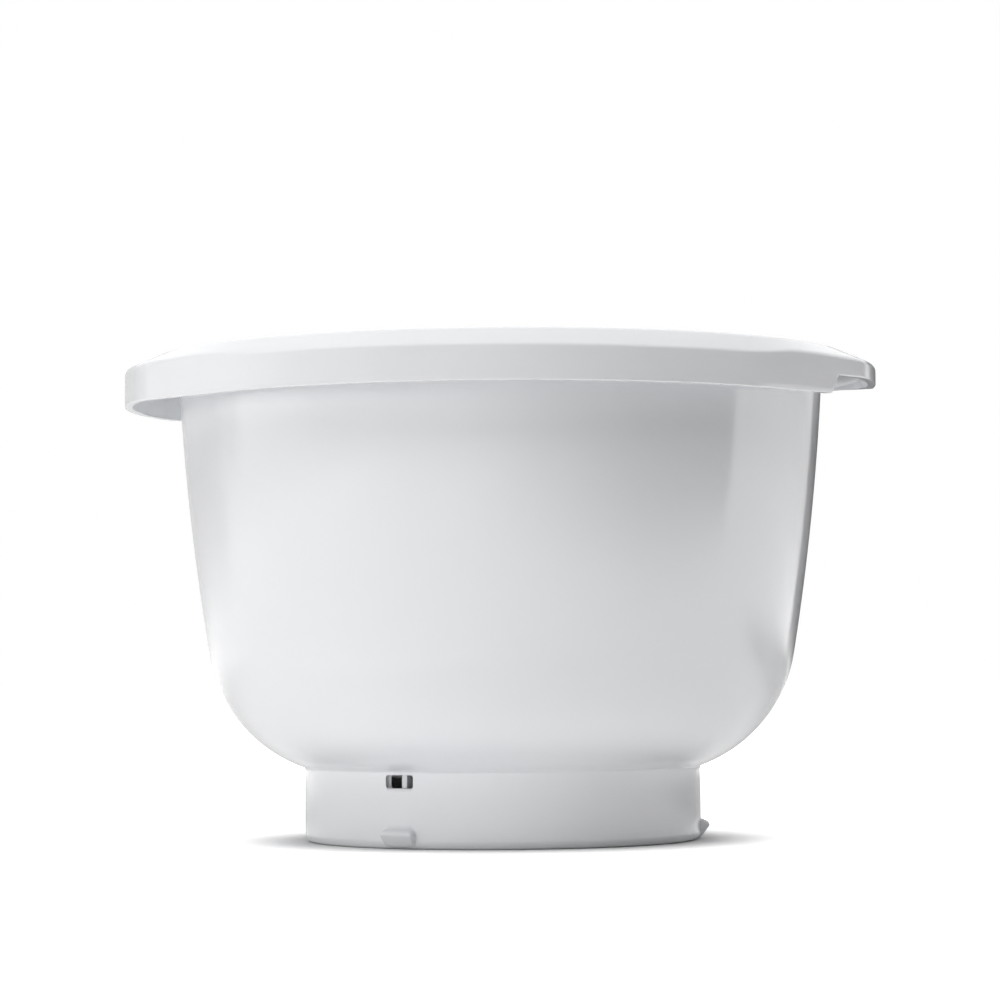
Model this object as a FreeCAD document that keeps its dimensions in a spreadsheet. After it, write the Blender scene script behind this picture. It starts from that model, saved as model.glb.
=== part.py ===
import FreeCAD, Part
import os
from math import acos, asin, atan2, cos, degrees, hypot, pi, radians, sin, sqrt

import Sketcher

# One moulded mixer bowl: millimetres, +Z up, origin at the middle of the foot's bottom plane.
# +X points to the grip with the finger recess, and the wide flange is longest along X.
SIZES = {
    # side wall and floor, one thickness all over
    "wall": 2.6,
    "rim_height": 160.0,
    "body_top_radius": 107.2,
    "wall_curve_radius": 808.0,
    "corner_radius": 47.4,
    "floor_radius": 50.1,
    "floor_height": 21.7,
    # flange seen from above: nearly round, with a wider grip at each end of X
    "flange_overhang": 9.8,
    "grip_reach": 7.7,
    "grip_corner_radius": 12.0,
    "grip_angle": 20.0,
    "skirt_drop": 16.6,
    # flange top: falls from the crest circle towards a wider ring at the dome's base
    "crest_width": 5.9,
    "dome_depth": 10.0,
    "dome_side_reach": 2.8,
    "dome_end_reach": 11.8,
    "dome_corner_radius": 14.0,
    "crest_round": 2.0,
    "skirt_edge_round": 2.0,
    "lip_round": 2.4,
    # finger recess in the skirt of the +X grip
    "recess_half_width": 55.0,
    "recess_slant": 1.8,
    "recess_front_rise": 5.9,
    "recess_back_rise": 9.6,
    "recess_round": 1.6,
    # hollow foot
    "foot_radius": 65.6,
    "foot_wall": 3.0,
    "foot_edge_round": 2.3,
    "foot_joint_round": 0.7,
    # bayonet lugs, each with a window above it and an upright rib behind the window
    "lug_count": 3,
    "lug_sweep": 10.4,
    "lug_reach": 2.8,
    "lug_bottom": 0.7,
    "lug_top": 6.7,
    "lug_tip_height": 4.7,
    "lug_nose_radius": 1.1,
    "lug_end_round": 0.8,
    "window_width": 10.0,
    "window_height": 4.2,
    "window_to_joint": 1.0,
    "rib_thickness": 2.0,
    "rib_length": 11.0,
    "rib_bottom": 1.5,
    "rib_setback": 0.25,
}

# places that more than one feature is measured from
CREST = "(Sizes.body_top_radius + Sizes.crest_width)"
SIDE = "(Sizes.body_top_radius + Sizes.flange_overhang)"
END = f"({SIDE} + Sizes.grip_reach)"
SKIRT_BOTTOM = "(Sizes.rim_height - Sizes.skirt_drop)"
FOOT_INSIDE = "(Sizes.foot_radius - Sizes.foot_wall)"
FOOT_MIDDLE = "(Sizes.foot_radius - Sizes.foot_wall / 2)"
MID_CORNER = "(Sizes.corner_radius - Sizes.wall / 2)"
# heights of the corner's outside at the foot's outside, and of the wall's middle over the foot's middle
JOINT = ("(Sizes.floor_height + Sizes.corner_radius"
         " - sqrt(Sizes.corner_radius ^ 2 - (Sizes.foot_radius - Sizes.floor_radius) ^ 2))")
FOOT_TOP = ("(Sizes.floor_height + Sizes.corner_radius"
            f" - sqrt({MID_CORNER} ^ 2 - ({FOOT_MIDDLE} - Sizes.floor_radius) ^ 2))")

NODE = "mixing_bowl"
ORIGIN = (-1, 1)
TOUCH = 1e-3
NEAR = 0.02

doc = FreeCAD.newDocument(NODE)
sheet = doc.addObject("Spreadsheet::Sheet", "Sizes")
for row, (alias, number) in enumerate(SIZES.items(), start=1):
    sheet.set(f"A{row}", alias)
    sheet.set(f"B{row}", str(number))
    sheet.setAlias(f"B{row}", alias)
doc.recompute()


def value(expression):
    """The number that an expression of the sheet's sizes has now."""
    return float(sheet.evalExpression(expression))


def point(x, y):
    return FreeCAD.Vector(x, y, 0)


def add_sketch(body, name, role, offset=None):
    """A sketch on one of the body's own origin planes, shifted along its normal by an expression."""
    sketch = body.newObject("Sketcher::SketchObject", name)
    plane = next(f for f in body.Origin.OriginFeatures if f.Role == role)
    sketch.AttachmentSupport = [(plane, "")]
    sketch.MapMode = "FlatFace"
    if offset:
        sketch.setExpression("AttachmentOffset.Base.z", offset)
    return sketch


def relate(sketch, kind, *where):
    sketch.addConstraint(Sketcher.Constraint(kind, *where))


def dimension(sketch, name, kind, where, expression):
    """A named size of the sketch that follows the sheet."""
    index = sketch.addConstraint(Sketcher.Constraint(kind, *where, value(expression)))
    sketch.renameConstraint(index, name)
    sketch.setExpression(f"Constraints.{name}", expression)


def add_line(sketch, start, end):
    return sketch.addGeometry(Part.LineSegment(point(*start), point(*end)), False)


def add_arc(sketch, centre, radius, start, end):
    circle = Part.Circle(point(*centre), FreeCAD.Vector(0, 0, 1), radius)
    return sketch.addGeometry(Part.ArcOfCircle(circle, start, end), False)


def add_circle(sketch, name, radius):
    """A circle about the sketch's origin."""
    circle = Part.Circle(point(0, 0), FreeCAD.Vector(0, 0, 1), value(radius))
    index = sketch.addGeometry(circle, False)
    relate(sketch, "Coincident", index, 3, *ORIGIN)
    dimension(sketch, name, "Radius", (index,), radius)


def add_polygon(sketch, corners):
    """A closed polygon whose corners are pairs of expressions, each bound to the sheet."""
    places = [(value(x), value(y)) for x, y in corners]
    lines = [add_line(sketch, a, b) for a, b in zip(places, places[1:] + places[:1])]
    for line, following in zip(lines, lines[1:] + lines[:1]):
        relate(sketch, "Coincident", line, 2, following, 1)
    for number, (line, (x, y)) in enumerate(zip(lines, corners)):
        dimension(sketch, f"x{number}", "DistanceX", (*ORIGIN, line, 1), x)
        dimension(sketch, f"y{number}", "DistanceY", (*ORIGIN, line, 1), y)


def add_gripped_ring(sketch, side, end, corner, angle):
    """A ring with a wider grip at each end of X, drawn counter-clockwise.

    Two side arcs and two end arcs run about the origin. A line that is tangent to the side arc leads
    to a rounded corner, which meets the end arc at the given angle from X.
    """
    side_r, end_r, corner_r = value(side), value(end), value(corner)
    at = radians(value(angle))
    cx = (end_r - corner_r) * cos(at)
    cy = (end_r - corner_r) * sin(at)
    normal = atan2(cy, cx) + acos((side_r - corner_r) / hypot(cx, cy))
    on_side = (side_r * cos(normal), side_r * sin(normal))
    on_corner = (cx + corner_r * cos(normal), cy + corner_r * sin(normal))

    right = add_arc(sketch, (0, 0), end_r, -at, at)
    corner_1 = add_arc(sketch, (cx, cy), corner_r, at, normal)
    line_1 = add_line(sketch, on_corner, on_side)
    back = add_arc(sketch, (0, 0), side_r, normal, pi - normal)
    line_2 = add_line(sketch, (-on_side[0], on_side[1]), (-on_corner[0], on_corner[1]))
    corner_2 = add_arc(sketch, (-cx, cy), corner_r, pi - normal, pi - at)
    left = add_arc(sketch, (0, 0), end_r, pi - at, pi + at)
    corner_3 = add_arc(sketch, (-cx, -cy), corner_r, pi + at, pi + normal)
    line_3 = add_line(sketch, (-on_corner[0], -on_corner[1]), (-on_side[0], -on_side[1]))
    front = add_arc(sketch, (0, 0), side_r, pi + normal, 2 * pi - normal)
    line_4 = add_line(sketch, (on_side[0], -on_side[1]), (on_corner[0], -on_corner[1]))
    corner_4 = add_arc(sketch, (cx, -cy), corner_r, 2 * pi - normal, 2 * pi - at)

    chain = [right, corner_1, line_1, back, line_2, corner_2]
    chain += [left, corner_3, line_3, front, line_4, corner_4]
    for piece, following in zip(chain, chain[1:] + chain[:1]):
        relate(sketch, "Tangent", piece, 2, following, 1)
    for arc in (right, back, left, front):
        relate(sketch, "Coincident", arc, 3, *ORIGIN)
    relate(sketch, "Equal", back, front)
    relate(sketch, "Equal", right, left)
    for arc in (corner_2, corner_3, corner_4):
        relate(sketch, "Equal", corner_1, arc)
    relate(sketch, "Horizontal", corner_1, 3, corner_2, 3)
    relate(sketch, "Vertical", corner_1, 3, corner_4, 3)
    relate(sketch, "Horizontal", corner_4, 3, corner_3, 3)
    dimension(sketch, "side_radius", "Radius", (back,), side)
    dimension(sketch, "end_radius", "Radius", (right,), end)
    dimension(sketch, "corner_radius", "Radius", (corner_1,), corner)
    height = f"({end} - ({corner})) * sin({angle} * 1 deg)"
    dimension(sketch, "corner_place", "DistanceY", (*ORIGIN, corner_1, 3), height)


def check_volume(feature, base, grows):
    """Stops the build where a feature added or took away nothing."""
    change = feature.Shape.Volume - base.Shape.Volume
    if (change > 0) != grows or abs(change) < TOUCH:
        raise RuntimeError(f"{feature.Name} changed the volume by {change:.3f}")


def add_feature(body, kind, name, grows=None, **settings):
    """A PartDesign feature, with text settings that start with = bound as expressions."""
    base = body.Tip
    feature = body.newObject(f"PartDesign::{kind}", name)
    for setting, content in settings.items():
        if isinstance(content, str) and content.startswith("="):
            feature.setExpression(setting, content[1:])
        else:
            setattr(feature, setting, content)
    doc.recompute()
    if grows is not None:
        check_volume(feature, base, grows)
    return feature


def edges_where(feature, wanted):
    """Names of the feature's edges for which a test on the edge and its box holds."""
    names = []
    for number, edge in enumerate(feature.Shape.Edges, start=1):
        if wanted(edge, edge.BoundBox):
            names.append(f"Edge{number}")
    if not names:
        raise RuntimeError(f"no edge found on {feature.Name}")
    return names


def round_edges(body, name, radius, wanted):
    base = body.Tip
    return add_feature(body, "Fillet", name, Base=(base, edges_where(base, wanted)), Radius=f"={radius}")


def middle(edge):
    return edge.valueAt((edge.FirstParameter + edge.LastParameter) / 2)


def turn(vertex):
    """The angle of a corner about the Z axis, in degrees."""
    return degrees(atan2(vertex.Y, vertex.X))


def is_ring(edge, radius, height):
    """Whether an edge lies on the level circle of this radius and height about the Z axis."""
    ends = [edge.valueAt(edge.FirstParameter), middle(edge)]
    return all(abs(hypot(p.x, p.y) - radius) < NEAR and abs(p.z - height) < NEAR for p in ends)


def flange_form(body, prefix, inset, bottom):
    """The flange's block with its sloping top, drawn inside itself by an inset.

    A ring at the dome's base narrows upwards to the crest circle, the same ring runs down as a
    block, and the flange's own outline trims both to one upright side.
    """
    base_height = f"Sizes.rim_height - Sizes.dome_depth - {inset}"
    ring = add_sketch(body, f"{prefix}_dome_base", "XY_Plane", base_height)
    side = f"{SIDE} + Sizes.dome_side_reach - {inset} / 2"
    end = f"{END} + Sizes.dome_end_reach - {inset} / 2"
    add_gripped_ring(ring, side, end, "Sizes.dome_corner_radius", "Sizes.grip_angle")
    crest = add_sketch(body, f"{prefix}_crest", "XY_Plane", f"Sizes.rim_height - {inset}")
    add_circle(crest, "crest", f"{CREST} - {inset} / 2")
    doc.recompute()
    add_feature(body, "AdditiveLoft", f"{prefix}_dome", Profile=ring, Sections=[crest], Ruled=True)
    add_feature(body, "Pad", f"{prefix}_block", grows=True, Profile=ring, Reversed=True,
                Length=f"={base_height} - {bottom}")

    outline = add_sketch(body, f"{prefix}_outline", "XY_Plane", "Sizes.rim_height")
    add_gripped_ring(outline, f"{SIDE} - {inset}", f"{END} - {inset}",
                     f"Sizes.grip_corner_radius - {inset}", "Sizes.grip_angle")
    add_circle(outline, "outside", f"{END} + Sizes.dome_end_reach + Sizes.wall")
    doc.recompute()
    add_feature(body, "Pocket", f"{prefix}_trim", grows=False, Profile=outline, Type="ThroughAll")


def flange(body):
    """The flange: a domed, hollow collar with a skirt all round and a recess under the +X grip."""
    flange_form(body, "flange", "0", SKIRT_BOTTOM)
    base_height = value("Sizes.rim_height - Sizes.dome_depth")
    side = value(SIDE)
    round_edges(body, "skirt_top_edge", "Sizes.skirt_edge_round",
                lambda edge, box: box.ZMin > base_height
                and hypot(middle(edge).x, middle(edge).y) > side - NEAR)
    cavity = doc.addObject("PartDesign::Body", "flange_cavity")
    flange_form(cavity, "cavity", "Sizes.wall", f"({SKIRT_BOTTOM} - Sizes.wall)")
    base = body.Tip
    hollow = body.newObject("PartDesign::Boolean", "flange_hollow")
    hollow.Type = "Cut"
    hollow.addObjects([cavity])
    doc.recompute()
    check_volume(hollow, base, False)

    below = f"{SKIRT_BOTTOM} - Sizes.wall"
    front = f"{SKIRT_BOTTOM} + Sizes.recess_front_rise"
    recess = add_sketch(body, "recess_end_view", "YZ_Plane", "Sizes.floor_radius")
    add_polygon(recess, [
        ("-Sizes.recess_half_width - Sizes.recess_slant", SKIRT_BOTTOM),
        ("-Sizes.recess_half_width - Sizes.recess_slant", below),
        ("Sizes.recess_half_width + Sizes.recess_slant", below),
        ("Sizes.recess_half_width + Sizes.recess_slant", SKIRT_BOTTOM),
        ("Sizes.recess_half_width", f"{SKIRT_BOTTOM} + Sizes.recess_back_rise"),
        ("0", front),
        ("-Sizes.recess_half_width", front),
    ])
    doc.recompute()
    add_feature(body, "Pocket", "finger_recess", grows=False, Profile=recess, Type="ThroughAll",
                Reversed=True)
    near = value("Sizes.recess_half_width") - NEAR
    far = value("Sizes.recess_half_width + Sizes.recess_slant") + NEAR
    round_edges(body, "recess_corners", "Sizes.recess_round",
                lambda edge, box: box.XMin > 0 and box.YLength < NEAR and box.ZLength < NEAR
                and near < abs(middle(edge).y) < far)

    opening = add_sketch(body, "opening", "XY_Plane", "Sizes.rim_height")
    add_circle(opening, "opening", "Sizes.body_top_radius - Sizes.wall / 2")
    doc.recompute()
    add_feature(body, "Pocket", "rim_opening", grows=False, Profile=opening, Type="ThroughAll")


def bowl_wall(body):
    """The bowl itself: a section of one thickness, turned about the Z axis.

    From the axis outwards it is a flat floor, a corner arc and a side wall that is an arc of a very
    large radius, each tangent to the next, with the inner arcs about the same centres as the outer.
    """
    wall = value("Sizes.wall")
    top_r = value("Sizes.body_top_radius")
    top_z = value("Sizes.rim_height")
    side_r = value("Sizes.wall_curve_radius")
    corner_r = value("Sizes.corner_radius")
    corner = (value("Sizes.floor_radius"), value("Sizes.floor_height") + corner_r)
    # centre of the side arc: side_r from the top point and side_r - corner_r from the corner's centre
    dx, dz = top_r - corner[0], top_z - corner[1]
    apart = hypot(dx, dz)
    along = ((side_r - corner_r) ** 2 - side_r ** 2 + apart ** 2) / (2 * apart)
    across = sqrt((side_r - corner_r) ** 2 - along ** 2)
    side = (corner[0] + (along * dx - across * dz) / apart, corner[1] + (along * dz + across * dx) / apart)
    meet = atan2(corner[1] - side[1], corner[0] - side[0])
    outer_top = atan2(top_z - side[1], top_r - side[0])
    inner_top = asin((top_z - side[1]) / (side_r - wall))
    inner_x = side[0] + (side_r - wall) * cos(inner_top)
    floor_z = corner[1] - corner_r

    section = add_sketch(body, "wall_section", "XZ_Plane")
    floor_under = add_line(section, (0, floor_z), (corner[0], floor_z))
    outer_corner = add_arc(section, corner, corner_r, -pi / 2, meet)
    outer_side = add_arc(section, side, side_r, meet, outer_top)
    rim = add_line(section, (top_r, top_z), (inner_x, top_z))
    inner_side = add_arc(section, side, side_r - wall, meet, inner_top)
    inner_corner = add_arc(section, corner, corner_r - wall, -pi / 2, meet)
    floor_top = add_line(section, (corner[0], floor_z + wall), (0, floor_z + wall))
    axis = add_line(section, (0, floor_z + wall), (0, floor_z))

    relate(section, "Tangent", floor_under, 2, outer_corner, 1)
    relate(section, "Tangent", outer_corner, 2, outer_side, 1)
    relate(section, "Coincident", outer_side, 2, rim, 1)
    relate(section, "Coincident", rim, 2, inner_side, 2)
    relate(section, "Tangent", inner_side, 1, inner_corner, 2)
    relate(section, "Tangent", inner_corner, 1, floor_top, 1)
    relate(section, "Coincident", floor_top, 2, axis, 1)
    relate(section, "Coincident", axis, 2, floor_under, 1)
    relate(section, "Coincident", outer_corner, 3, inner_corner, 3)
    relate(section, "Coincident", outer_side, 3, inner_side, 3)
    relate(section, "Horizontal", floor_under)
    relate(section, "Horizontal", rim)
    relate(section, "Horizontal", floor_top)
    relate(section, "Vertical", *ORIGIN, floor_under, 1)
    relate(section, "Vertical", axis)
    dimension(section, "floor_height", "DistanceY", (*ORIGIN, floor_under, 1), "Sizes.floor_height")
    dimension(section, "floor_radius", "DistanceX", (*ORIGIN, floor_under, 2), "Sizes.floor_radius")
    dimension(section, "wall", "DistanceY", (floor_under, 1, floor_top, 2), "Sizes.wall")
    dimension(section, "corner_radius", "Radius", (outer_corner,), "Sizes.corner_radius")
    dimension(section, "side_radius", "Radius", (outer_side,), "Sizes.wall_curve_radius")
    dimension(section, "top_radius", "DistanceX", (*ORIGIN, rim, 1), "Sizes.body_top_radius")
    dimension(section, "rim_height", "DistanceY", (*ORIGIN, rim, 1), "Sizes.rim_height")
    doc.recompute()
    add_feature(body, "Revolution", "bowl_wall", grows=True, Profile=section,
                ReferenceAxis=(section, ["V_Axis"]))

    round_edges(body, "inner_lip", "Sizes.lip_round", lambda edge, box: is_ring(edge, inner_x, top_z))
    crest = value(CREST)
    round_edges(body, "crest_edge", "Sizes.crest_round", lambda edge, box: is_ring(edge, crest, top_z))


def foot(body):
    """The hollow foot: a ring that stands under the bowl's corner, open below."""
    ring = add_sketch(body, "foot_ring", "XY_Plane")
    add_circle(ring, "outer", "Sizes.foot_radius")
    add_circle(ring, "inner", FOOT_INSIDE)
    doc.recompute()
    add_feature(body, "Pad", "foot", grows=True, Profile=ring, Length=f"={FOOT_TOP}")
    outer = value("Sizes.foot_radius")
    rise = value(JOINT)
    round_edges(body, "foot_edge", "Sizes.foot_edge_round", lambda edge, box: is_ring(edge, outer, 0))
    round_edges(body, "foot_joint", "Sizes.foot_joint_round", lambda edge, box: is_ring(edge, outer, rise))


def bayonet(body):
    """Three equal places round the foot: a lug, the window above it and the rib behind the window."""
    rib = add_sketch(body, "rib_side_view", "XZ_Plane")
    rib_inner = f"{FOOT_INSIDE} - Sizes.rib_length"
    add_polygon(rib, [(rib_inner, "Sizes.rib_bottom"), (FOOT_MIDDLE, "Sizes.rib_bottom"),
                      (FOOT_MIDDLE, FOOT_TOP), (rib_inner, "Sizes.floor_height + Sizes.wall / 2")])
    doc.recompute()
    ribs = add_feature(body, "Pad", "rib", grows=True, Profile=rib, Midplane=True,
                       Length="=Sizes.rib_thickness")

    window = add_sketch(body, "window_view", "YZ_Plane", f"{FOOT_INSIDE} - Sizes.rib_setback")
    half_width = "Sizes.window_width / 2"
    top = f"{JOINT} - Sizes.window_to_joint"
    sill = f"{top} - Sizes.window_height"
    add_polygon(window, [(f"-{half_width}", sill), (half_width, sill),
                         (half_width, top), (f"-{half_width}", top)])
    doc.recompute()
    windows = add_feature(body, "Pocket", "window", grows=False, Profile=window, Reversed=True,
                          Type="ThroughAll")

    tip = "Sizes.foot_radius + Sizes.lug_reach"
    lug = add_sketch(body, "lug_section", "XZ_Plane")
    add_lug_section(lug, FOOT_MIDDLE, tip)
    doc.recompute()
    lugs = add_feature(body, "Revolution", "lug", grows=True, Profile=lug, ReferenceAxis=(lug, ["V_Axis"]),
                       Midplane=True, Angle="=Sizes.lug_sweep")

    pattern = body.newObject("PartDesign::PolarPattern", "bayonet_places")
    pattern.Originals = [ribs, windows, lugs]
    pattern.Axis = (lug, ["V_Axis"])
    pattern.Angle = 360
    pattern.setExpression("Occurrences", "Sizes.lug_count")
    body.Tip = pattern
    doc.recompute()
    check_volume(pattern, lugs, True)
    outer = value("Sizes.foot_radius")
    highest = value("Sizes.lug_top")
    round_edges(body, "lug_ends", "Sizes.lug_end_round",
                lambda edge, box: box.ZMax < highest + NEAR
                and hypot(middle(edge).x, middle(edge).y) > outer + NEAR
                and abs(turn(edge.firstVertex()) - turn(edge.lastVertex())) < NEAR)


def add_lug_section(sketch, root, tip):
    """The lug's upright section: a sloping top, a round nose at the tip height and a long slant below."""
    nose = value("Sizes.lug_nose_radius")
    nose_x = value(tip) - nose
    nose_z = value("Sizes.lug_tip_height")
    foot_r = value("Sizes.foot_radius")
    root_x = value(root)
    low = value("Sizes.lug_bottom")
    high = value("Sizes.lug_top")

    def touch(x, z, sense):
        """Where the line from a point of the foot's face touches the nose, and the angle of that place."""
        dx, dz = x - nose_x, z - nose_z
        angle = atan2(dz, dx) + sense * acos(nose / hypot(dx, dz))
        return (nose_x + nose * cos(angle), nose_z + nose * sin(angle)), angle

    under, under_angle = touch(foot_r, low, 1)
    over, over_angle = touch(foot_r, high, -1)
    slant = add_line(sketch, (foot_r, low), under)
    nose_arc = add_arc(sketch, (nose_x, nose_z), nose, under_angle, over_angle)
    top = add_line(sketch, over, (foot_r, high))
    inside_top = add_line(sketch, (foot_r, high), (root_x, high))
    back = add_line(sketch, (root_x, high), (root_x, low))
    inside_low = add_line(sketch, (root_x, low), (foot_r, low))
    relate(sketch, "Tangent", slant, 2, nose_arc, 1)
    relate(sketch, "Tangent", nose_arc, 2, top, 1)
    relate(sketch, "Coincident", top, 2, inside_top, 1)
    relate(sketch, "Coincident", inside_top, 2, back, 1)
    relate(sketch, "Coincident", back, 2, inside_low, 1)
    relate(sketch, "Coincident", inside_low, 2, slant, 1)
    relate(sketch, "Horizontal", inside_top)
    relate(sketch, "Horizontal", inside_low)
    relate(sketch, "Vertical", back)
    dimension(sketch, "foot_face_low", "DistanceX", (*ORIGIN, slant, 1), "Sizes.foot_radius")
    dimension(sketch, "foot_face_high", "DistanceX", (*ORIGIN, top, 2), "Sizes.foot_radius")
    dimension(sketch, "bottom", "DistanceY", (*ORIGIN, slant, 1), "Sizes.lug_bottom")
    dimension(sketch, "top", "DistanceY", (*ORIGIN, top, 2), "Sizes.lug_top")
    dimension(sketch, "root", "DistanceX", (*ORIGIN, back, 1), root)
    dimension(sketch, "nose_radius", "Radius", (nose_arc,), "Sizes.lug_nose_radius")
    dimension(sketch, "nose_place", "DistanceX", (*ORIGIN, nose_arc, 3), f"{tip} - Sizes.lug_nose_radius")
    dimension(sketch, "nose_height", "DistanceY", (*ORIGIN, nose_arc, 3), "Sizes.lug_tip_height")


def check_document():
    """Stops before anything is written if an object failed or the solid is not whole."""
    for item in doc.Objects:
        if "Invalid" in item.State or "Error" in item.State:
            raise RuntimeError(f"{item.Name} is {item.State}")
        if item.isDerivedFrom("Sketcher::SketchObject") and not item.FullyConstrained:
            raise RuntimeError(f"{item.Name} is not fully constrained")


bowl = doc.addObject("PartDesign::Body", NODE)
bowl.Label = NODE
flange(bowl)
bowl_wall(bowl)
foot(bowl)
bayonet(bowl)
doc.recompute()
check_document()

shape = bowl.Shape
if shape.isNull() or not shape.isValid() or len(shape.Solids) != 1:
    raise RuntimeError(f"{NODE} is not one valid solid")
os.makedirs("parts", exist_ok=True)
shape.exportStep(f"parts/{NODE}.step")
box = shape.BoundBox
print(f"{NODE}: {box.XLength:.1f} x {box.YLength:.1f} x {box.ZLength:.1f} mm, {shape.Volume / 1000:.1f} cm3")
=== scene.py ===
"""Looks of the stand mixer bowl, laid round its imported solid. Metres, +Z up, the grips along X.

The moulding is one closed skin. A section runs from the middle of the floor up the inside, over the
rim, down the outside and under the foot, and is carried round the Z axis. The flange's part of the
section changes with the angle, because the flange is nearly round and widens into a grip at each
end of X.
"""
from math import acos, asin, atan2, cos, hypot, pi, radians, sin, sqrt

import bpy
import numpy as np
from mathutils import Matrix, Vector


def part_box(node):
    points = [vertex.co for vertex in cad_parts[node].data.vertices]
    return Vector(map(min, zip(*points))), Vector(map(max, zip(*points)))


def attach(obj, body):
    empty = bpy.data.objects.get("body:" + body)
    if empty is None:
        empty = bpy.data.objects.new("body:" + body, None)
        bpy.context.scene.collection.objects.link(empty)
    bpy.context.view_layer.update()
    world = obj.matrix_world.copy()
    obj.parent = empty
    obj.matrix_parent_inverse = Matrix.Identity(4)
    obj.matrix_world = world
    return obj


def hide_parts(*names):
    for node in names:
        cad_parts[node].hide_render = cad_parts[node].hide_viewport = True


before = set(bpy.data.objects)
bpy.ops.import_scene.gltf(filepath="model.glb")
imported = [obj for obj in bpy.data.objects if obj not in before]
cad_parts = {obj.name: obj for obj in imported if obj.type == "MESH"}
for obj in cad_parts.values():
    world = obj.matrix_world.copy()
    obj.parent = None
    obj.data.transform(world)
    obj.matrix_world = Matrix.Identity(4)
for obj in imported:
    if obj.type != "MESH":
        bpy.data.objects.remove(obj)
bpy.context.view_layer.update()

NODE = "mixing_bowl"
_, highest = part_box(NODE)
MM = 0.001

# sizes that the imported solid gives
RIM_HEIGHT = highest.z
END_RADIUS = highest.x
SIDE_RADIUS = highest.y

# side wall and floor
WALL = 2.6 * MM
BODY_TOP_RADIUS = 107.2 * MM
SIDE_CURVE = 808 * MM
CORNER_CURVE = 47.4 * MM
FLOOR_RADIUS = 50.1 * MM
FLOOR_HEIGHT = 21.7 * MM
LIP_ROUND = 2.4 * MM

# flange
GRIP_ANGLE = radians(20)
GRIP_CORNER = 12 * MM
SKIRT_BOTTOM = RIM_HEIGHT - 16.6 * MM
CREST_RADIUS = BODY_TOP_RADIUS + 5.9 * MM
CREST_ROUND = 2.0 * MM
DOME_DEPTH = 10 * MM
DOME_SIDE = SIDE_RADIUS + 2.8 * MM
DOME_END = END_RADIUS + 11.8 * MM
DOME_CORNER = 14 * MM
SKIRT_EDGE_ROUND = 2.0 * MM
SMALL_ROUND = 0.35 * MM

# finger recess in the skirt of the +X grip
RECESS_HALF_WIDTH = 55 * MM
RECESS_SLANT = 1.8 * MM
RECESS_FRONT = SKIRT_BOTTOM + 5.9 * MM
RECESS_BACK = SKIRT_BOTTOM + 9.6 * MM
RECESS_ROUND = 1.6 * MM

# hollow foot with its lugs, windows and ribs
FOOT_RADIUS = 65.6 * MM
FOOT_WALL = 3.0 * MM
FOOT_EDGE_ROUND = 2.3 * MM
FOOT_JOINT_ROUND = 0.7 * MM
PLACES = (0, radians(120), radians(240))
LUG_HALF_ANGLE = radians(5.2)
LUG_REACH = 2.8 * MM
LUG_BOTTOM = 0.7 * MM
LUG_TOP = 6.7 * MM
LUG_NOSE_HEIGHT = 4.7 * MM
LUG_NOSE_ROUND = 1.1 * MM
LUG_END_ROUND = 0.9 * MM
LUG_CORNER = 2.6 * MM
WINDOW_WIDTH = 10 * MM
WINDOW_HEIGHT = 4.2 * MM
WINDOW_TO_JOINT = 1.0 * MM
WINDOW_ROUND = 0.9 * MM
RIB_THICKNESS = 2.0 * MM
RIB_LENGTH = 11 * MM
RIB_BOTTOM = 1.5 * MM
RIB_EDGE_ROUND = 0.25 * MM

# height at which the foot's outside meets the corner, and the window's place below it
JOINT = FLOOR_HEIGHT + CORNER_CURVE - sqrt(CORNER_CURVE**2 - (FOOT_RADIUS - FLOOR_RADIUS) ** 2)
WINDOW_SILL = JOINT - WINDOW_TO_JOINT - WINDOW_HEIGHT

# columns of the skin round the axis, and which of the foot's stretches carries the windows' inner edges
EVEN_COLUMNS = 230
INNER_WINDOW_STRETCH = 6


def arc(centre_r, centre_z, radius, start, end, rows):
    """Part of a circle in the section: centre plus radius times (cos, sin) of angles in even steps."""
    angle = start + (end - start) * np.linspace(0, 1, rows)[:, None]
    return centre_r + radius * np.cos(angle), centre_z + radius * np.sin(angle)


def straight(start, end, rows):
    """A straight run in the section, from start to end in even steps."""
    share = np.linspace(0, 1, rows)[:, None]
    return tuple(a + (b - a) * share for a, b in zip(start, end))


def gripped_radius(angle, side, end, corner, grip_angle):
    """Radius of a round outline with a wider grip at each end of X, at each angle.

    Within the grip angle of X it is the end's radius. Then follow a corner circle, a straight line
    that is tangent to it and to the side's circle, and the side's radius.
    """
    folded = np.abs(np.arctan2(np.abs(np.sin(angle)), np.abs(np.cos(angle))))
    reach = end - corner
    normal = grip_angle + acos((side - corner) / reach)
    touch = atan2(reach * sin(grip_angle) + corner * sin(normal),
                  reach * cos(grip_angle) + corner * cos(normal))
    offset = folded - grip_angle
    on_corner = reach * np.cos(offset) + np.sqrt(np.maximum(corner**2 - (reach * np.sin(offset)) ** 2, 0))
    on_line = side / np.cos(folded - normal)
    zones = [folded < grip_angle, folded < touch, folded < normal]
    return np.select(zones, [end, on_corner, on_line], side)


def dome_height(radius, inset, angle):
    """Height of the flange's top at a radius: it falls straight from the crest to the dome's base."""
    crest = CREST_RADIUS - inset / 2
    base = gripped_radius(angle, DOME_SIDE - inset / 2, DOME_END - inset / 2, DOME_CORNER, GRIP_ANGLE)
    return RIM_HEIGHT - inset - DOME_DEPTH * (radius - crest) / (base - crest)


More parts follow.
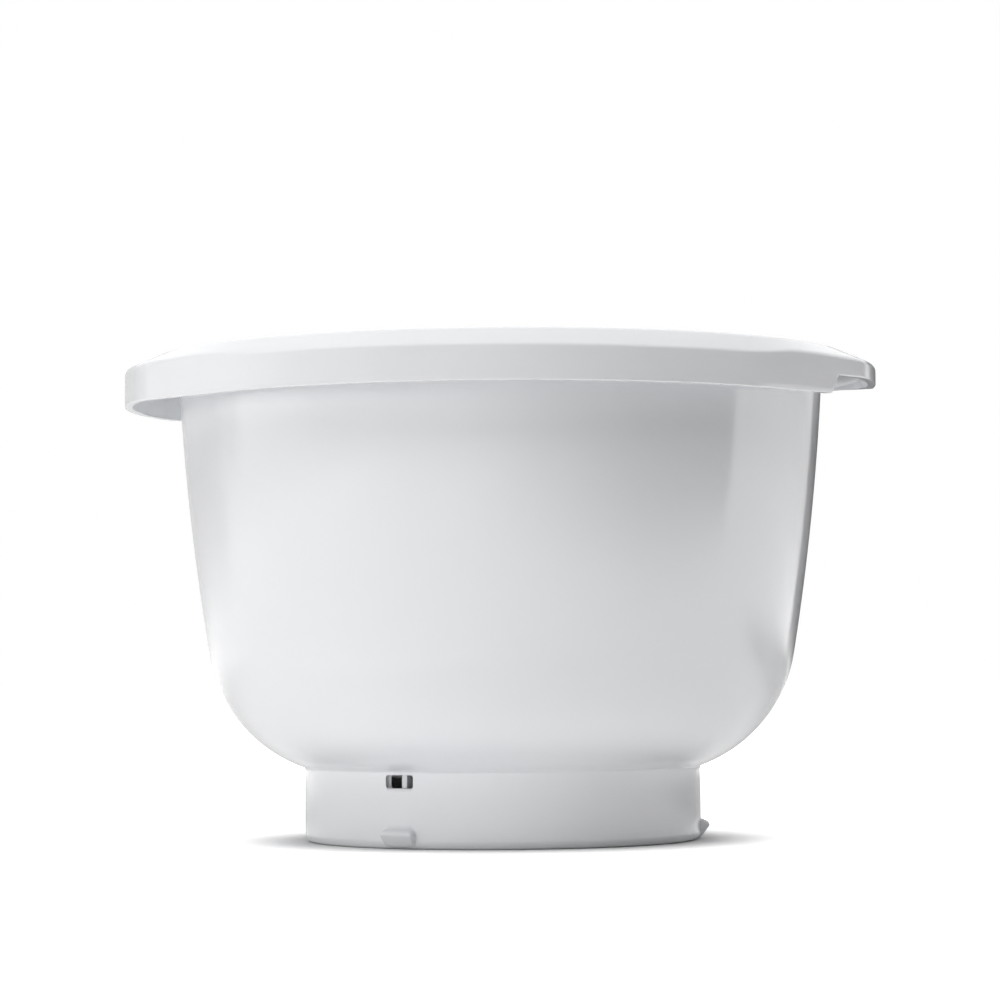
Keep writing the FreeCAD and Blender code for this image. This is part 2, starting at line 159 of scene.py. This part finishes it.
def side_circle():
    """Centres of the side wall's large circle and of the corner circle, and the angle at which they touch.

    The large circle goes through the body's top edge and touches the corner circle from outside.
    """
    corner = (FLOOR_RADIUS, FLOOR_HEIGHT + CORNER_CURVE)
    dr, dz = BODY_TOP_RADIUS - corner[0], RIM_HEIGHT - corner[1]
    apart = hypot(dr, dz)
    along = ((SIDE_CURVE - CORNER_CURVE) ** 2 - SIDE_CURVE**2 + apart**2) / (2 * apart)
    across = sqrt((SIDE_CURVE - CORNER_CURVE) ** 2 - along**2)
    side = (corner[0] + (along * dr - across * dz) / apart, corner[1] + (along * dz + across * dr) / apart)
    return side, corner, atan2(corner[1] - side[1], corner[0] - side[0])


def angle_columns():
    """Angles of the section's places: even steps, with closer ones at lug ends, windows and the recess."""
    even = np.linspace(0, 2 * pi, EVEN_COLUMNS, endpoint=False)
    end = (LUG_CORNER + LUG_END_ROUND) / FOOT_RADIUS
    shoulder = LUG_HALF_ANGLE - end * (1 - np.cos(np.linspace(0, pi / 2, 15)))
    jamb = asin(WINDOW_WIDTH / 2 / FOOT_RADIUS)
    corner = (WINDOW_ROUND / FOOT_RADIUS) * (1 - np.cos(np.linspace(0, pi / 2, 5)))
    near_place = np.concatenate([shoulder, [LUG_HALF_ANGLE + 1e-4], jamb - corner])
    near_place = np.concatenate([near_place, -near_place, [0]])
    places = np.concatenate([place + near_place for place in PLACES])
    step = asin((RECESS_HALF_WIDTH + RECESS_SLANT / 2) / END_RADIUS)
    spread = 2 * (RECESS_SLANT + RECESS_ROUND) / END_RADIUS
    near_step = step + spread * np.linspace(-1, 1, 25)
    wanted = np.concatenate([places, near_step, -near_step]) % (2 * pi)
    gap = np.abs((even[:, None] - wanted[None, :] + pi) % (2 * pi) - pi).min(1)
    return np.unique(np.round(np.concatenate([even[gap > 0.25 * 2 * pi / EVEN_COLUMNS], wanted]), 7))


def skirt_bottom_height(angle, radius):
    """Height of the skirt's lower edge: level, but raised over the finger recess of the +X grip.

    Each end of the recess is a steep slant, softened where it meets the level edges by a smooth step.
    """
    y = radius * np.sin(angle)
    roof = RECESS_FRONT + (RECESS_BACK - RECESS_FRONT) * np.clip(y / RECESS_HALF_WIDTH, 0, 1)
    reach = RECESS_SLANT + RECESS_ROUND
    share = np.clip((RECESS_HALF_WIDTH + RECESS_SLANT + RECESS_ROUND / 2 - np.abs(y)) / reach, 0, 1)
    share = share**2 * (3 - 2 * share)
    return np.where(np.cos(angle) > 0, SKIRT_BOTTOM + (roof - SKIRT_BOTTOM) * share, SKIRT_BOTTOM)


def lug_share(angle, height):
    """How far a lug stands out at an angle and height, from 0 to 1: full between its ends.

    Seen from the front an end is rounded by the corner circle at its top and bottom, and its shoulder
    is a quarter of a circle.
    """
    away = np.min([np.abs((angle - place + pi) % (2 * pi) - pi) for place in PLACES], axis=0)
    middle, half = (LUG_TOP + LUG_BOTTOM) / 2, (LUG_TOP - LUG_BOTTOM) / 2
    beyond = np.clip(np.abs(height - middle) - (half - LUG_CORNER), 0, LUG_CORNER)
    end = LUG_HALF_ANGLE * FOOT_RADIUS - LUG_CORNER + np.sqrt(LUG_CORNER**2 - beyond**2)
    over = away * FOOT_RADIUS - end + LUG_END_ROUND
    return np.sqrt(1 - np.clip(over / LUG_END_ROUND, 0, 1) ** 2)


def inside_section(angle):
    """Floor, corner, side wall and lip of the inside, from the axis outwards and up."""
    side, corner, meet = side_circle()
    lip_z = RIM_HEIGHT - LIP_ROUND
    lip_r = side[0] + sqrt((SIDE_CURVE - WALL + LIP_ROUND) ** 2 - (lip_z - side[1]) ** 2)
    lip_start = atan2(side[1] - lip_z, side[0] - lip_r) % (2 * pi)
    top = atan2(lip_z - side[1], lip_r - side[0])
    return [
        straight((0, FLOOR_HEIGHT + WALL), (FLOOR_RADIUS, FLOOR_HEIGHT + WALL), 12),
        arc(*corner, CORNER_CURVE - WALL, -pi / 2, meet, 22),
        arc(*side, SIDE_CURVE - WALL, meet, top, 20),
        arc(lip_r, lip_z, LIP_ROUND, lip_start, pi / 2, 9),
    ]


def flange_section(angle):
    """Crest, sloping top, skirt, hollow underside: the part of the section that changes with the angle."""
    outer = gripped_radius(angle, SIDE_RADIUS, END_RADIUS, GRIP_CORNER, GRIP_ANGLE)
    inner = gripped_radius(angle, SIDE_RADIUS - WALL, END_RADIUS - WALL, GRIP_CORNER - WALL, GRIP_ANGLE)
    edge_z = dome_height(outer, 0, angle)
    slope = np.arctan2(RIM_HEIGHT - edge_z, outer - CREST_RADIUS)
    crest_tangent = CREST_ROUND * np.tan(slope / 2)
    edge_tangent = SKIRT_EDGE_ROUND * np.tan((pi / 2 - slope) / 2)
    bottom = skirt_bottom_height(angle, outer)
    cavity_z = dome_height(inner, WALL, angle)
    inner_bottom = np.minimum(bottom, cavity_z - 3 * SMALL_ROUND)
    cavity_crest = CREST_RADIUS - WALL / 2
    cavity_slope = np.arctan2(RIM_HEIGHT - WALL - cavity_z, inner - cavity_crest)
    side, _, _ = side_circle()
    under_z = RIM_HEIGHT - WALL
    wall_r = side[0] + sqrt(SIDE_CURVE**2 - (under_z - side[1]) ** 2)
    skirt_corner = inner - SMALL_ROUND, cavity_z - SMALL_ROUND / np.tan((pi / 2 + cavity_slope) / 2)
    return [
        arc(CREST_RADIUS - crest_tangent, RIM_HEIGHT - CREST_ROUND, CREST_ROUND, pi / 2, pi / 2 - slope, 9),
        arc(outer - SKIRT_EDGE_ROUND, edge_z - edge_tangent, SKIRT_EDGE_ROUND, pi / 2 - slope, 0, 8),
        straight((outer, edge_z - edge_tangent), (outer, bottom + SMALL_ROUND), 8),
        arc(outer - SMALL_ROUND, bottom + SMALL_ROUND, SMALL_ROUND, 0, -pi / 2, 5),
        arc(inner + SMALL_ROUND, inner_bottom + SMALL_ROUND, SMALL_ROUND, -pi / 2, -pi, 5),
        arc(*skirt_corner, SMALL_ROUND, 0, pi / 2 - cavity_slope, 5),
        arc(wall_r + SMALL_ROUND, under_z - SMALL_ROUND, SMALL_ROUND, pi / 2, pi, 5),
    ]


def outside_section(angle):
    """Side wall and corner of the outside, down to the joint with the foot, which has a small round."""
    side, corner, meet = side_circle()
    top_z = RIM_HEIGHT - WALL - SMALL_ROUND
    top = atan2(top_z - side[1], sqrt(SIDE_CURVE**2 - (top_z - side[1]) ** 2))
    joint_r = FOOT_RADIUS + FOOT_JOINT_ROUND
    joint = -acos((joint_r - corner[0]) / (CORNER_CURVE + FOOT_JOINT_ROUND))
    joint_z = corner[1] + (CORNER_CURVE + FOOT_JOINT_ROUND) * sin(joint)
    return [
        arc(*side, SIDE_CURVE, top, meet, 30),
        arc(*corner, CORNER_CURVE, meet, joint, 24),
        arc(joint_r, joint_z, FOOT_JOINT_ROUND, joint + pi, pi, 6),
    ]


def window_heights():
    """Heights of the window's rows, from its top to its sill, closer together at its rounded corners."""
    corner = WINDOW_ROUND * (1 - np.cos(np.linspace(0, pi / 2, 5)))
    top = WINDOW_SILL + WINDOW_HEIGHT
    middle = np.linspace(WINDOW_SILL + WINDOW_ROUND, top - WINDOW_ROUND, 5)
    return np.concatenate([WINDOW_SILL + corner[:-1], middle, top - corner[-2::-1]])[::-1]


def lug_profile():
    """The lug's own section from its top down: a sloping top, a round nose and a long slant below."""
    nose = (FOOT_RADIUS + LUG_REACH - LUG_NOSE_ROUND, LUG_NOSE_HEIGHT)

    def touch(z, sense):
        away = hypot(FOOT_RADIUS - nose[0], z - nose[1])
        return atan2(z - nose[1], FOOT_RADIUS - nose[0]) + sense * acos(LUG_NOSE_ROUND / away)

    over, under = touch(LUG_TOP, -1), touch(LUG_BOTTOM, 1)
    tip = arc(*nose, LUG_NOSE_ROUND, over, under, 9)
    top = straight((FOOT_RADIUS, LUG_TOP), (tip[0][0, 0], tip[1][0, 0]), 4)
    slant = straight((tip[0][-1, 0], tip[1][-1, 0]), (FOOT_RADIUS, LUG_BOTTOM), 6)
    return tuple(np.concatenate([top[i][:-1], tip[i], slant[i][1:]])[:, 0] for i in (0, 1))


def foot_section(angle):
    """The foot's outside with its lugs, its lower edge and its inside, and the floor's underside."""
    _, corner, _ = side_circle()
    windows = window_heights()[:, None]
    lug_r, lug_z = (values[:, None] for values in lug_profile())
    below = np.maximum(FOOT_EDGE_ROUND - lug_z, 0)
    plain_r = FOOT_RADIUS - FOOT_EDGE_ROUND + np.sqrt(FOOT_EDGE_ROUND**2 - below**2)
    under_lug = -asin((FOOT_EDGE_ROUND - LUG_BOTTOM) / FOOT_EDGE_ROUND)
    edge_start = under_lug - (1 - lug_share(angle, LUG_BOTTOM)) * radians(9)
    inner = FOOT_RADIUS - FOOT_WALL
    under = -acos((inner - corner[0]) / CORNER_CURVE)
    return [
        (np.full_like(windows, FOOT_RADIUS), windows),
        straight((FOOT_RADIUS, WINDOW_SILL), (FOOT_RADIUS, LUG_TOP), 12),
        (plain_r + (lug_r - plain_r) * lug_share(angle, lug_z), lug_z + 0 * angle),
        arc(FOOT_RADIUS - FOOT_EDGE_ROUND, FOOT_EDGE_ROUND, FOOT_EDGE_ROUND, edge_start, -pi / 2, 6),
        arc(inner + SMALL_ROUND, SMALL_ROUND, SMALL_ROUND, -pi / 2, -pi, 4),
        straight((inner, SMALL_ROUND), (inner, WINDOW_SILL), 10),
        (np.full_like(windows, inner), windows[::-1]),
        arc(*corner, CORNER_CURVE, under, -pi / 2, 6),
        straight((FLOOR_RADIUS, FLOOR_HEIGHT), (0, FLOOR_HEIGHT), 12),
    ]


def stack(stretches, angle):
    """Joins the section's stretches into arrays of radius and height, a row a place, a column an angle.

    The first row of a stretch is left out where it repeats the last row before it. It also gives the
    number of the row at which each stretch starts.
    """
    rows_r, rows_z, starts = [], [], []
    for r, z in stretches:
        shape = (max(np.shape(r)[0], np.shape(z)[0]), len(angle))
        r, z = np.broadcast_to(r, shape), np.broadcast_to(z, shape)
        if rows_r and np.allclose(r[0], rows_r[-1], atol=1e-7) and np.allclose(z[0], rows_z[-1], atol=1e-7):
            starts.append(len(rows_r) - 1)
            r, z = r[1:], z[1:]
        else:
            starts.append(len(rows_r))
        rows_r.extend(r)
        rows_z.extend(z)
    return np.array(rows_r), np.array(rows_z), starts


def round_window_loop(points, columns, rows):
    """Rounds a window's corners in the skin: points in a corner's square go to the corner's circle."""
    place = np.arctan2(points[rows][:, columns, 1], points[rows][:, columns, 0])
    middle = place.mean()
    radius = np.hypot(points[rows][:, columns, 0], points[rows][:, columns, 1])
    across = (place - middle) * radius
    half = np.abs(across).max()
    height = points[rows][:, columns, 2]
    centre_z = WINDOW_SILL + WINDOW_HEIGHT / 2
    level = WINDOW_HEIGHT / 2 - WINDOW_ROUND
    dx = np.abs(across) - (half - WINDOW_ROUND)
    dz = np.abs(height - centre_z) - level
    length = np.hypot(dx, dz)
    outside = (dx > 0) & (dz > 0) & (length > WINDOW_ROUND)
    scale = np.where(outside, WINDOW_ROUND / np.maximum(length, 1e-9), 1)
    across = np.where(outside, np.sign(across) * (half - WINDOW_ROUND + dx * scale), across)
    height = np.where(outside, centre_z + np.sign(height - centre_z) * (level + dz * scale), height)
    turned = middle + across / radius
    block = np.stack([radius * np.cos(turned), radius * np.sin(turned), height], axis=2)
    for number, row in enumerate(range(rows.start, rows.stop)):
        points[row, columns] = block[number]


def new_mesh(name, points, faces):
    """A smooth mesh object at the origin, without the points that no face uses."""
    used, places = np.unique(np.concatenate([np.ravel(f) for f in faces]), return_inverse=True)
    sizes = np.concatenate([np.full(len(f), f.shape[1]) for f in faces])
    mesh = bpy.data.meshes.new(name)
    mesh.vertices.add(len(used))
    mesh.vertices.foreach_set("co", points[used].astype(np.float32).ravel())
    mesh.loops.add(len(places))
    mesh.loops.foreach_set("vertex_index", places.astype(np.int32))
    mesh.polygons.add(len(sizes))
    mesh.polygons.foreach_set("loop_start", np.concatenate([[0], np.cumsum(sizes)[:-1]]).astype(np.int32))
    mesh.polygons.foreach_set("use_smooth", np.ones(len(sizes), bool))
    mesh.update(calc_edges=True)
    mesh.validate()
    made = bpy.data.objects.new(name, mesh)
    bpy.context.scene.collection.objects.link(made)
    return made


def bowl_skin():
    """The whole moulding as one closed skin.

    Point (row, column) is (r cos angle, r sin angle, z) of the section at that column's angle. Each end
    of the section closes in one point on the axis. A window leaves out its faces in the foot's outer
    and inner wall, and a strip of faces joins the two edges.
    """
    angle = angle_columns()
    count = len(angle)
    above_foot = [*inside_section(angle), *flange_section(angle), *outside_section(angle)]
    r, z, starts = stack([*above_foot, *foot_section(angle)], angle)
    points = np.stack([r * np.cos(angle), r * np.sin(angle), z], axis=2)
    outer_row = starts[len(above_foot)]
    inner_row = starts[len(above_foot) + INNER_WINDOW_STRETCH]
    steps = len(window_heights()) - 1
    rows = len(r)

    number = np.arange(rows * count).reshape(rows, count)
    ahead = np.roll(number, -1, axis=1)
    quads = np.stack([number[:-1], number[1:], ahead[1:], ahead[:-1]], axis=2)
    keep = np.ones(quads.shape[:2], bool)
    keep[0] = keep[-1] = False
    strips = []
    jamb = asin(WINDOW_WIDTH / 2 / FOOT_RADIUS)
    for place in PLACES:
        away = (angle - place + pi) % (2 * pi) - pi
        inside = np.flatnonzero(np.abs(away) < jamb + 1e-5)
        columns = inside[np.argsort(away[inside])]
        for top in (outer_row, inner_row):
            round_window_loop(points, columns, slice(top, top + steps + 1))
            keep[top:top + steps, columns[:-1]] = False
        outer = number[outer_row:outer_row + steps + 1][:, columns]
        inner = number[inner_row:inner_row + steps + 1][:, columns][::-1]
        loops = [np.concatenate([b[0], b[1:, -1], b[-1, -2::-1], b[-2:0:-1, 0]]) for b in (outer, inner)]
        strips.append(np.stack([loops[0], np.roll(loops[0], -1), np.roll(loops[1], -1), loops[1]], axis=1))

    flat = points.reshape(-1, 3)
    start_fan = np.stack([np.full(count, number[0, 0]), number[1], ahead[1]], axis=1)
    end_fan = np.stack([np.full(count, number[-1, 0]), ahead[-2], number[-2]], axis=1)
    return new_mesh("bowl_moulding", flat, [quads[keep], np.concatenate(strips), start_fan, end_fan])


def foot_ribs():
    """Upright ribs inside the foot behind the windows, sunk a little into the wall and the floor above.

    A side outline in radius and height is carried across by the rib's thickness.
    """
    inner = FOOT_RADIUS - FOOT_WALL
    sunk = 0.1 * WALL
    seat, clear, nose = inner + sunk, inner - sunk, inner - RIB_LENGTH
    rise = FLOOR_HEIGHT + CORNER_CURVE - sqrt(CORNER_CURVE**2 - (inner - FLOOR_RADIUS) ** 2) + sunk
    outline = np.array([(nose, RIB_BOTTOM), (seat, RIB_BOTTOM), (seat, WINDOW_SILL - sunk),
                        (clear, WINDOW_SILL), (clear, rise), (nose, FLOOR_HEIGHT + sunk)])
    corners = len(outline)
    points, faces = [], []
    step = np.arange(corners)
    following = np.roll(step, -1)
    for turn, place in enumerate(PLACES):
        along = np.array([cos(place), sin(place), 0])
        across = np.array([-sin(place), cos(place), 0]) * RIB_THICKNESS / 2
        side = outline[:, :1] * along + outline[:, 1:] * np.array([0, 0, 1])
        points += [side - across, side + across]
        first = 2 * corners * turn
        faces += [tuple(first + step), tuple(first + corners + step[::-1])]
        other = first + corners
        faces += list(zip(first + following, first + step, other + step, other + following))
    mesh = bpy.data.meshes.new("foot_ribs")
    mesh.from_pydata(np.concatenate(points).tolist(), [], [tuple(int(i) for i in face) for face in faces])
    ribs = bpy.data.objects.new("foot_ribs", mesh)
    bpy.context.scene.collection.objects.link(ribs)
    bevel = ribs.modifiers.new("edge rounds", "BEVEL")
    bevel.width = RIB_EDGE_ROUND
    bevel.segments = 2
    bevel.limit_method = "ANGLE"
    bevel.harden_normals = True
    mesh.polygons.foreach_set("use_smooth", [True] * len(mesh.polygons))
    return ribs


# materials

def node(tree, kind, links=None, **settings):
    """A shader node with its settings, and with links of input name to another node's output."""
    made = tree.nodes.new(kind)
    for key, content in settings.items():
        if hasattr(made, key):
            setattr(made, key, content)
        else:
            made.inputs[key.replace("_", " ")].default_value = content
    for name, output in (links or {}).items():
        tree.links.new(output, made.inputs[name])
    return made


def moulded_surface_group():
    """Small unevenness of a polished moulding, over the object's own place.

    Height is twelve times broad waves plus fine grain, Roughness follows the grain between its two
    limits, and Tone is the waves alone.
    """
    group = bpy.data.node_groups.new("moulded surface", "ShaderNodeTree")
    face = group.interface
    face.new_socket("Vector", in_out="INPUT", socket_type="NodeSocketVector")
    sizes = {"Wave Scale": 18.0, "Grain Scale": 900.0, "Rough Low": 0.1, "Rough High": 0.16}
    for name, size in sizes.items():
        face.new_socket(name, in_out="INPUT", socket_type="NodeSocketFloat").default_value = size
    for name in ("Height", "Roughness", "Tone"):
        face.new_socket(name, in_out="OUTPUT", socket_type="NodeSocketFloat")
    given = group.nodes.new("NodeGroupInput").outputs
    result = group.nodes.new("NodeGroupOutput").inputs
    waves = node(group, "ShaderNodeTexNoise", {"Vector": given["Vector"], "Scale": given["Wave Scale"]},
                 Detail=2.0, Roughness=0.4).outputs["Fac"]
    grain = node(group, "ShaderNodeTexNoise", {"Vector": given["Vector"], "Scale": given["Grain Scale"]},
                 Detail=3.0, Roughness=0.6).outputs["Fac"]
    height = node(group, "ShaderNodeMath", {0: waves, 2: grain}, operation="MULTIPLY_ADD")
    height.inputs[1].default_value = 12.0
    limits = {"Value": grain, "To Min": given["Rough Low"], "To Max": given["Rough High"]}
    rough = node(group, "ShaderNodeMapRange", limits, From_Min=0.3, From_Max=0.7)
    group.links.new(height.outputs[0], result["Height"])
    group.links.new(rough.outputs[0], result["Roughness"])
    group.links.new(waves, result["Tone"])
    return group


def glossy_plastic(surface):
    """White glossy moulded plastic: a slightly cool white with faint clouds and a barely uneven face."""
    material = bpy.data.materials.new("bowl_plastic_glossy")
    material.use_nodes = True
    tree = material.node_tree
    shader = tree.nodes["Principled BSDF"]
    place = node(tree, "ShaderNodeTexCoord")
    effect = node(tree, "ShaderNodeGroup", node_tree=surface)
    tree.links.new(place.outputs["Object"], effect.inputs["Vector"])
    tone = node(tree, "ShaderNodeMix", {"Factor": effect.outputs["Tone"]}, data_type="RGBA")
    tone.inputs["A"].default_value = (0.85, 0.858, 0.88, 1)
    tone.inputs["B"].default_value = (0.876, 0.884, 0.9, 1)
    bump = node(tree, "ShaderNodeBump", {"Height": effect.outputs["Height"]},
                Strength=0.05, Distance=0.0002)
    tree.links.new(tone.outputs["Result"], shader.inputs["Base Color"])
    tree.links.new(effect.outputs["Roughness"], shader.inputs["Roughness"])
    tree.links.new(bump.outputs["Normal"], shader.inputs["Normal"])
    shader.inputs["IOR"].default_value = 1.75
    return material


def seen_rays(tree):
    """One for camera, glossy and transmission rays, which see the white background, and else nought."""
    path = node(tree, "ShaderNodeLightPath").outputs
    seen = node(tree, "ShaderNodeMath", {0: path["Is Camera Ray"], 1: path["Is Glossy Ray"]},
                operation="MAXIMUM").outputs[0]
    return node(tree, "ShaderNodeMath", {0: seen, 1: path["Is Transmission Ray"]},
                operation="MAXIMUM").outputs[0]


def pale_floor():
    """A plain white floor disc, diffuse, lifted to white by an emission that only camera, glossy and
    transmission rays see.

    The lift grows from nothing at the foot's edge, which paints a darker ring round the foot, a painted
    contact shadow on top of the real one from the lamps, also seen in the gloss; and a second one makes up
    for the lamps' light, which fades far off.
    """
    size, sides = 8.0, 64
    near_lift, far_lift = 0.55, 0.5
    edge = np.linspace(0, 2 * pi, sides, endpoint=False)
    mesh = bpy.data.meshes.new("floor")
    mesh.from_pydata([(size * cos(a), size * sin(a), 0) for a in edge], [], [tuple(range(sides))])
    floor = bpy.data.objects.new("floor", mesh)
    bpy.context.scene.collection.objects.link(floor)
    material = bpy.data.materials.new("floor_white")
    material.use_nodes = True
    tree = material.node_tree
    shader = tree.nodes["Principled BSDF"]
    shader.inputs["Base Color"].default_value = (0.82, 0.82, 0.82, 1)
    shader.inputs["Roughness"].default_value = 0.9
    shader.inputs["Specular IOR Level"].default_value = 0.0
    shader.inputs["Emission Color"].default_value = (1, 1, 1, 1)
    place = node(tree, "ShaderNodeTexCoord")
    away = node(tree, "ShaderNodeVectorMath", {0: place.outputs["Object"]}, operation="LENGTH")
    distance = {"Value": away.outputs["Value"]}
    # painted contact shadow: no lift inside the foot's edge, full lift by one and a half foot radii
    near = node(tree, "ShaderNodeMapRange", distance, interpolation_type="SMOOTHSTEP",
                From_Min=0.95 * FOOT_RADIUS, From_Max=1.5 * FOOT_RADIUS, To_Max=near_lift)
    far = node(tree, "ShaderNodeMapRange", distance, From_Min=0.2, From_Max=1.0, To_Max=far_lift)
    lift = node(tree, "ShaderNodeMath", {0: near.outputs[0], 1: far.outputs[0]}, operation="ADD")
    seen = node(tree, "ShaderNodeMath", {0: lift.outputs[0], 1: seen_rays(tree)}, operation="MULTIPLY")
    tree.links.new(seen.outputs[0], shader.inputs["Emission Strength"])
    mesh.materials.append(material)
    return floor


def white_world(ambient):
    """White behind everything for the camera and for gloss, and an even pale light for the rest."""
    world = bpy.data.worlds.new("studio")
    bpy.context.scene.world = world
    world.use_nodes = True
    tree = world.node_tree
    background = tree.nodes["Background"]
    level = node(tree, "ShaderNodeMapRange", {"Value": seen_rays(tree)}, To_Min=ambient, To_Max=1.0)
    background.inputs["Color"].default_value = (1, 1, 1, 1)
    tree.links.new(level.outputs[0], background.inputs["Strength"])


def on_ground(azimuth, distance):
    """Ground point at an azimuth from the camera's side, positive to the right, and a distance."""
    return distance * sin(radians(azimuth)), -distance * cos(radians(azimuth))


def soft_cover(tree, place, ramps):
    """Product of smooth ramps over a place's axes, each from nought at one value to one at another."""
    cover = None
    for axis, start, end in ramps:
        ramp = node(tree, "ShaderNodeMapRange", {"Value": place.outputs[axis]},
                    interpolation_type="SMOOTHSTEP", From_Min=start, From_Max=end).outputs[0]
        if cover is not None:
            ramp = node(tree, "ShaderNodeMath", {0: cover, 1: ramp}, operation="MULTIPLY").outputs[0]
        cover = ramp
    return cover


def painted_reflection_card(name, corners, ramps, grey=0.0, glow=0.0):
    """A flat dark or glowing card with soft edges that only the gloss sees: a painted reflection, dark or
    bright, which neither lights nor shades anything.

    Its own U runs from the first corner to the second and V from the second to the third. The ramps
    give how much of it is there over U and V.
    """
    mesh = bpy.data.meshes.new(name)
    mesh.from_pydata(corners, [], [(0, 1, 2, 3)])
    flat = mesh.uv_layers.new(name="card")
    flat.data.foreach_set("uv", [0, 0, 1, 0, 1, 1, 0, 1])
    card = bpy.data.objects.new(name, mesh)
    bpy.context.scene.collection.objects.link(card)
    material = bpy.data.materials.new(name)
    material.use_nodes = True
    tree = material.node_tree
    shader = tree.nodes["Principled BSDF"]
    shader.inputs["Base Color"].default_value = (grey, grey, grey, 1)
    shader.inputs["Roughness"].default_value = 1.0
    shader.inputs["Specular IOR Level"].default_value = 0.0
    shader.inputs["Emission Color"].default_value = (1, 1, 1, 1)
    # the glow paints a bright reflection; the card is no lamp
    shader.inputs["Emission Strength"].default_value = glow
    flat_place = node(tree, "ShaderNodeUVMap", uv_map="card")
    place = node(tree, "ShaderNodeSeparateXYZ", {"Vector": flat_place.outputs["UV"]})
    tree.links.new(soft_cover(tree, place, ramps), shader.inputs["Alpha"])
    mesh.materials.append(material)
    card.visible_camera = False
    card.visible_diffuse = False
    card.visible_shadow = False
    return card


def upright(start, end, bottom, top):
    """Corners of an upright card between two ground points."""
    return [(*start, bottom), (*end, bottom), (*end, top), (*start, top)]


def soft_lamp(name, place, target, width, height, power):
    """A rectangular soft box that faces a target and that neither the camera nor the gloss sees."""
    data = bpy.data.lights.new(name, "AREA")
    data.shape = "RECTANGLE"
    data.size, data.size_y = width, height
    data.energy = power
    lamp = bpy.data.objects.new(name, data)
    lamp.location = place
    lamp.rotation_mode = "QUATERNION"
    lamp.rotation_quaternion = (Vector(target) - Vector(place)).to_track_quat("-Z", "Y")
    lamp.visible_camera = False
    lamp.visible_glossy = False
    bpy.context.scene.collection.objects.link(lamp)
    return lamp


def painted_reflection_cards():
    """What the photo's gloss mirrors, as cards: dark at the front right, bright strips at both sides.

    The bright one at the right has a crisp near edge, which paints the line down the body there as a
    reflection. The grey and dark ones behind paint the outline's darker edge in the gloss, and the one on
    the floor paints the lower corner's darker reflection.
    """
    back, low = on_ground(180, 0.45), 0.0005
    # the dark cards paint dark reflections, shade seen in the gloss only, at the front right and behind
    painted_reflection_card("painted_dark_reflection_front", upright(on_ground(-15, 0.5), on_ground(84, 0.6), 0, 0.26),
                [("X", 0.0, 0.6), ("Y", 0.0, 0.35), ("Y", 1.0, 0.65)])
    painted_reflection_card("painted_dark_reflection_high", upright(on_ground(78, 0.6), on_ground(140, 0.6), 0.15, 0.32),
                [("X", 1.0, 0.5), ("Y", 0.0, 0.15), ("Y", 1.0, 0.8)])
    painted_reflection_card("painted_dark_reflection_right", upright(back, on_ground(137, 0.45), 0, 0.25), [("Y", 0.0, 0.25)],
                grey=0.02)
    # the grey and bright cards glow though they are no lamps: painted reflections, the grey ones darker than
    # the white round them, the bright ones brighter
    painted_reflection_card("painted_grey_reflection_left", upright(on_ground(-105, 0.45), back, 0, 0.25),
                [("Y", 0.0, 0.5), ("X", 0.0, 0.1)], glow=0.7)
    painted_reflection_card("painted_grey_floor_reflection", [(-0.6, 0, low), (0.6, 0, low), (0.6, 0.6, low), (-0.6, 0.6, low)],
                [("X", 0.1, 0.5), ("X", 1.0, 0.9), ("Y", 0.0, 0.25)], glow=0.65)
    painted_reflection_card("painted_bright_reflection_left", upright(on_ground(-98, 0.45), on_ground(-50, 0.45), 0.04, 0.34),
                [("Y", 0.0, 0.35), ("X", 0.0, 0.1), ("X", 1.0, 0.4)], glow=1.8)
    painted_reflection_card("painted_bright_reflection_right", upright(on_ground(76, 0.3), on_ground(129, 0.3), 0.02, 0.15),
                [("Y", 0.0, 0.5), ("Y", 1.0, 0.85), ("X", 1.0, 0.3)], glow=1.5)


def studio_lamps():
    """A wide soft box above, one low at the front left, and two small ones at the foot and lower corner."""
    middle = (0, 0, 0.09)
    soft_lamp("top", (0, 0, 1.5), middle, 2.4, 2.4, 43)
    soft_lamp("front_left", (*on_ground(-55, 1.27), 0.36), middle, 0.8, 0.4, 3.0)
    soft_lamp("under_front", (-0.01, -0.1, 0.002), (-0.01, -0.1, 1), 0.2, 0.05, 0.008)
    soft_lamp("near_left", (-0.16, -0.19, 0.012), (0, 0, 0.03), 0.3, 0.02, 0.026)


def studio_camera():
    """The photograph's viewpoint: distance and height of the fitted view, pitched up and rolled a little."""
    focal_px, photo_px = 3400, 1000
    px = MM / 3
    distance, height = focal_px * px, 177 * px
    horizon_px, roll_slope = 661.5, 0.00646
    data = bpy.data.cameras.new("camera")
    data.sensor_width = 36
    data.lens = 36 * focal_px / photo_px
    data.clip_end = 50
    camera = bpy.data.objects.new("camera", data)
    pitch = atan2(horizon_px - photo_px / 2, focal_px)
    turn = Matrix.Rotation(pi / 2 + pitch, 4, "X") @ Matrix.Rotation(-atan2(roll_slope, 1), 4, "Z")
    camera.matrix_world = Matrix.Translation((-1.0 * px, -distance, height)) @ turn
    bpy.context.scene.collection.objects.link(camera)
    bpy.context.scene.camera = camera
    return camera


skin = bowl_skin()
ribs = foot_ribs()
plastic = glossy_plastic(moulded_surface_group())
for piece in (skin, ribs):
    piece.data.materials.append(plastic)
    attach(piece, "root")
    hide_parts(NODE)

pale_floor()
white_world(0.05)
painted_reflection_cards()
studio_lamps()
studio_camera()

scene = bpy.context.scene
scene.view_settings.view_transform = "Standard"
